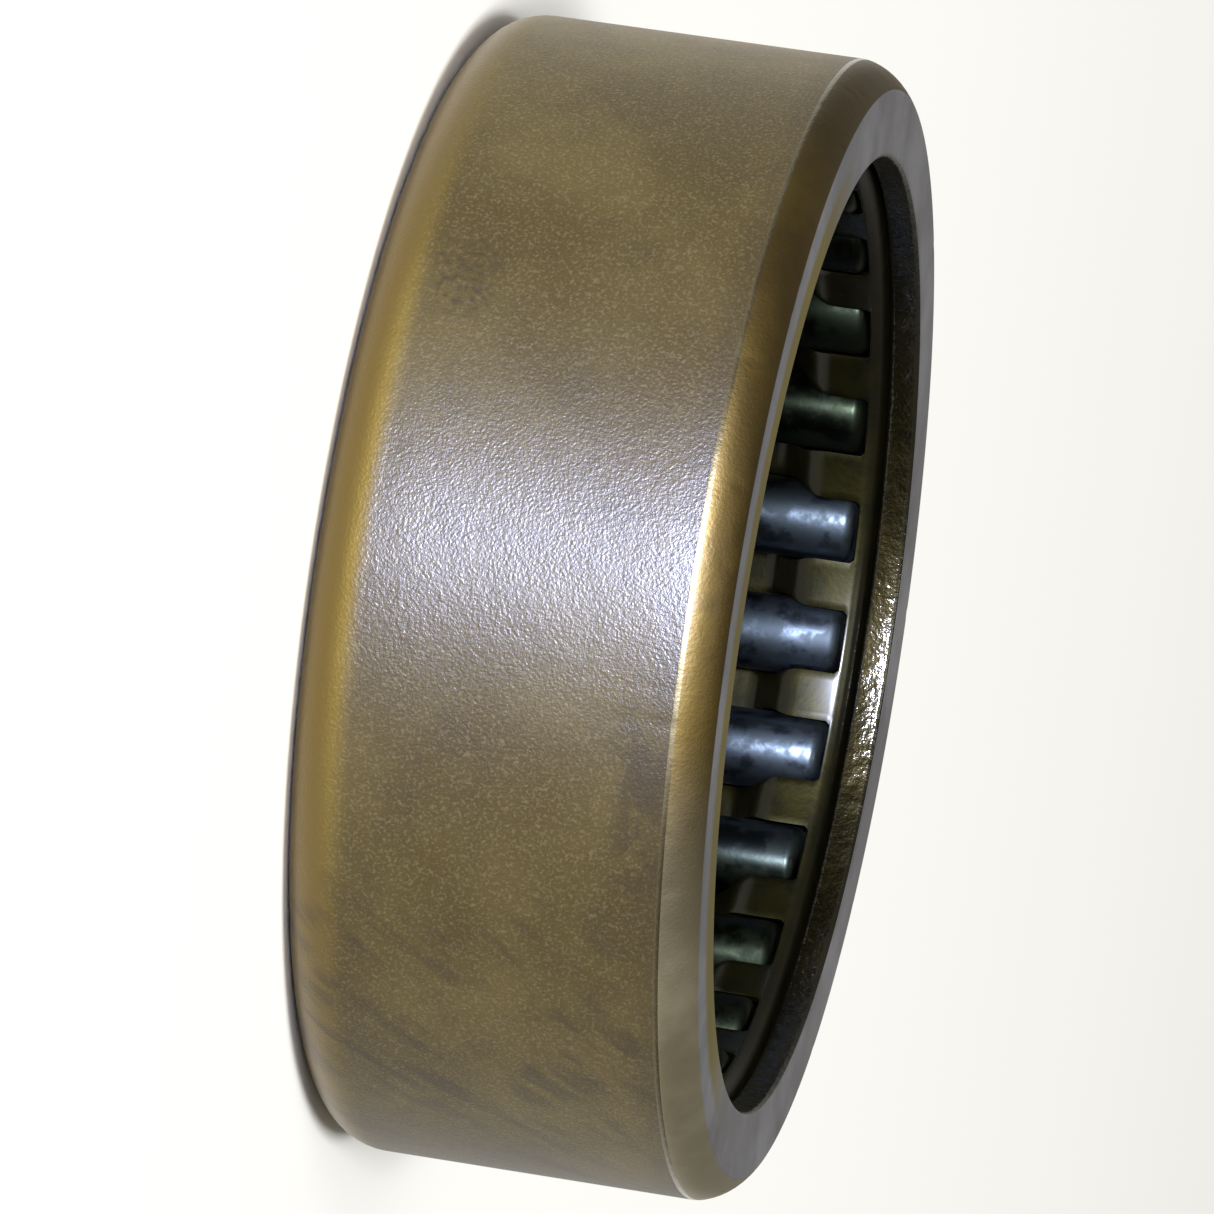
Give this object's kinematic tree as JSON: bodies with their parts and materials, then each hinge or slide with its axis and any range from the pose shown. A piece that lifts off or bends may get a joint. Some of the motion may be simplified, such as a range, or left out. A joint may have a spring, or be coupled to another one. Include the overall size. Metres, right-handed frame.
{
  "type": "drawn cup needle roller bearing",
  "caption": "Thin drawn cup with turned-in lips, holding a folded sheet cage with needle rollers that run directly on a shaft; open at both ends.",
  "frame": {"origin": "centre of the bearing, on its axis and midway between its two faces", "axes": "+Z along the bearing's axis, out of the front face, which has the flatter shoulder; +X through the centre of the first needle"},
  "size_m": [0.028, 0.028, 0.01],
  "materials": {
    "cup": "satin, bronze toned",
    "cage": "satin, olive toned, oiled",
    "needles": "polished, oiled"
  },
  "bodies": {
    "cup": {"drawn_cup": "cup"},
    "cage": {"cage": "cage"},
    "needle_01": {"needle_roller_01": "needles"},
    "needle_02": {"needle_roller_02": "needles"},
    "needle_03": {"needle_roller_03": "needles"},
    "needle_04": {"needle_roller_04": "needles"},
    "needle_05": {"needle_roller_05": "needles"},
    "needle_06": {"needle_roller_06": "needles"},
    "needle_07": {"needle_roller_07": "needles"},
    "needle_08": {"needle_roller_08": "needles"},
    "needle_09": {"needle_roller_09": "needles"},
    "needle_10": {"needle_roller_10": "needles"},
    "needle_11": {"needle_roller_11": "needles"},
    "needle_12": {"needle_roller_12": "needles"},
    "needle_13": {"needle_roller_13": "needles"},
    "needle_14": {"needle_roller_14": "needles"},
    "needle_15": {"needle_roller_15": "needles"},
    "needle_16": {"needle_roller_16": "needles"},
    "needle_17": {"needle_roller_17": "needles"},
    "needle_18": {"needle_roller_18": "needles"},
    "needle_19": {"needle_roller_19": "needles"},
    "needle_20": {"needle_roller_20": "needles"},
    "needle_21": {"needle_roller_21": "needles"},
    "needle_22": {"needle_roller_22": "needles"},
    "needle_23": {"needle_roller_23": "needles"},
    "needle_24": {"needle_roller_24": "needles"},
    "needle_25": {"needle_roller_25": "needles"}
  },
  "joints": [
    {"name": "cage_spin", "type": "hinge", "parent": "cup", "child": "cage", "pos_m": [0, 0, 0], "axis": [0, 0, 1], "continuous": true},
    {"name": "needle_01_spin", "type": "hinge", "parent": "cage", "child": "needle_01", "pos_m": [0.012, 0, 0], "axis": [0, 0, 1], "continuous": true},
    {"name": "needle_02_spin", "type": "hinge", "parent": "cage", "child": "needle_02", "pos_m": [0.01162, 0.00298, 0], "axis": [0, 0, 1], "continuous": true},
    {"name": "needle_03_spin", "type": "hinge", "parent": "cage", "child": "needle_03", "pos_m": [0.01052, 0.00578, 0], "axis": [0, 0, 1], "continuous": true},
    {"name": "needle_04_spin", "type": "hinge", "parent": "cage", "child": "needle_04", "pos_m": [0.00875, 0.00821, 0], "axis": [0, 0, 1], "continuous": true},
    {"name": "needle_05_spin", "type": "hinge", "parent": "cage", "child": "needle_05", "pos_m": [0.00643, 0.01013, 0], "axis": [0, 0, 1], "continuous": true},
    {"name": "needle_06_spin", "type": "hinge", "parent": "cage", "child": "needle_06", "pos_m": [0.00371, 0.01141, 0], "axis": [0, 0, 1], "continuous": true},
    {"name": "needle_07_spin", "type": "hinge", "parent": "cage", "child": "needle_07", "pos_m": [0.00075, 0.01198, 0], "axis": [0, 0, 1], "continuous": true},
    {"name": "needle_08_spin", "type": "hinge", "parent": "cage", "child": "needle_08", "pos_m": [-0.00225, 0.01179, 0], "axis": [0, 0, 1], "continuous": true},
    {"name": "needle_09_spin", "type": "hinge", "parent": "cage", "child": "needle_09", "pos_m": [-0.00511, 0.01086, 0], "axis": [0, 0, 1], "continuous": true},
    {"name": "needle_10_spin", "type": "hinge", "parent": "cage", "child": "needle_10", "pos_m": [-0.00765, 0.00925, 0], "axis": [0, 0, 1], "continuous": true},
    {"name": "needle_11_spin", "type": "hinge", "parent": "cage", "child": "needle_11", "pos_m": [-0.00971, 0.00705, 0], "axis": [0, 0, 1], "continuous": true},
    {"name": "needle_12_spin", "type": "hinge", "parent": "cage", "child": "needle_12", "pos_m": [-0.01116, 0.00442, 0], "axis": [0, 0, 1], "continuous": true},
    {"name": "needle_13_spin", "type": "hinge", "parent": "cage", "child": "needle_13", "pos_m": [-0.01191, 0.0015, 0], "axis": [0, 0, 1], "continuous": true},
    {"name": "needle_14_spin", "type": "hinge", "parent": "cage", "child": "needle_14", "pos_m": [-0.01191, -0.0015, 0], "axis": [0, 0, 1], "continuous": true},
    {"name": "needle_15_spin", "type": "hinge", "parent": "cage", "child": "needle_15", "pos_m": [-0.01116, -0.00442, 0], "axis": [0, 0, 1], "continuous": true},
    {"name": "needle_16_spin", "type": "hinge", "parent": "cage", "child": "needle_16", "pos_m": [-0.00971, -0.00705, 0], "axis": [0, 0, 1], "continuous": true},
    {"name": "needle_17_spin", "type": "hinge", "parent": "cage", "child": "needle_17", "pos_m": [-0.00765, -0.00925, 0], "axis": [0, 0, 1], "continuous": true},
    {"name": "needle_18_spin", "type": "hinge", "parent": "cage", "child": "needle_18", "pos_m": [-0.00511, -0.01086, 0], "axis": [0, 0, 1], "continuous": true},
    {"name": "needle_19_spin", "type": "hinge", "parent": "cage", "child": "needle_19", "pos_m": [-0.00225, -0.01179, 0], "axis": [0, 0, 1], "continuous": true},
    {"name": "needle_20_spin", "type": "hinge", "parent": "cage", "child": "needle_20", "pos_m": [0.00075, -0.01198, 0], "axis": [0, 0, 1], "continuous": true},
    {"name": "needle_21_spin", "type": "hinge", "parent": "cage", "child": "needle_21", "pos_m": [0.00371, -0.01141, 0], "axis": [0, 0, 1], "continuous": true},
    {"name": "needle_22_spin", "type": "hinge", "parent": "cage", "child": "needle_22", "pos_m": [0.00643, -0.01013, 0], "axis": [0, 0, 1], "continuous": true},
    {"name": "needle_23_spin", "type": "hinge", "parent": "cage", "child": "needle_23", "pos_m": [0.00875, -0.00821, 0], "axis": [0, 0, 1], "continuous": true},
    {"name": "needle_24_spin", "type": "hinge", "parent": "cage", "child": "needle_24", "pos_m": [0.01052, -0.00578, 0], "axis": [0, 0, 1], "continuous": true},
    {"name": "needle_25_spin", "type": "hinge", "parent": "cage", "child": "needle_25", "pos_m": [0.01162, -0.00298, 0], "axis": [0, 0, 1], "continuous": true}
  ],
  "couplings": [
    {"joint": "needle_01_spin", "follows": "cage_spin", "ratio": -13},
    {"joint": "needle_02_spin", "follows": "cage_spin", "ratio": -13},
    {"joint": "needle_03_spin", "follows": "cage_spin", "ratio": -13},
    {"joint": "needle_04_spin", "follows": "cage_spin", "ratio": -13},
    {"joint": "needle_05_spin", "follows": "cage_spin", "ratio": -13},
    {"joint": "needle_06_spin", "follows": "cage_spin", "ratio": -13},
    {"joint": "needle_07_spin", "follows": "cage_spin", "ratio": -13},
    {"joint": "needle_08_spin", "follows": "cage_spin", "ratio": -13},
    {"joint": "needle_09_spin", "follows": "cage_spin", "ratio": -13},
    {"joint": "needle_10_spin", "follows": "cage_spin", "ratio": -13},
    {"joint": "needle_11_spin", "follows": "cage_spin", "ratio": -13},
    {"joint": "needle_12_spin", "follows": "cage_spin", "ratio": -13},
    {"joint": "needle_13_spin", "follows": "cage_spin", "ratio": -13},
    {"joint": "needle_14_spin", "follows": "cage_spin", "ratio": -13},
    {"joint": "needle_15_spin", "follows": "cage_spin", "ratio": -13},
    {"joint": "needle_16_spin", "follows": "cage_spin", "ratio": -13},
    {"joint": "needle_17_spin", "follows": "cage_spin", "ratio": -13},
    {"joint": "needle_18_spin", "follows": "cage_spin", "ratio": -13},
    {"joint": "needle_19_spin", "follows": "cage_spin", "ratio": -13},
    {"joint": "needle_20_spin", "follows": "cage_spin", "ratio": -13},
    {"joint": "needle_21_spin", "follows": "cage_spin", "ratio": -13},
    {"joint": "needle_22_spin", "follows": "cage_spin", "ratio": -13},
    {"joint": "needle_23_spin", "follows": "cage_spin", "ratio": -13},
    {"joint": "needle_24_spin", "follows": "cage_spin", "ratio": -13},
    {"joint": "needle_25_spin", "follows": "cage_spin", "ratio": -13}
  ]
}
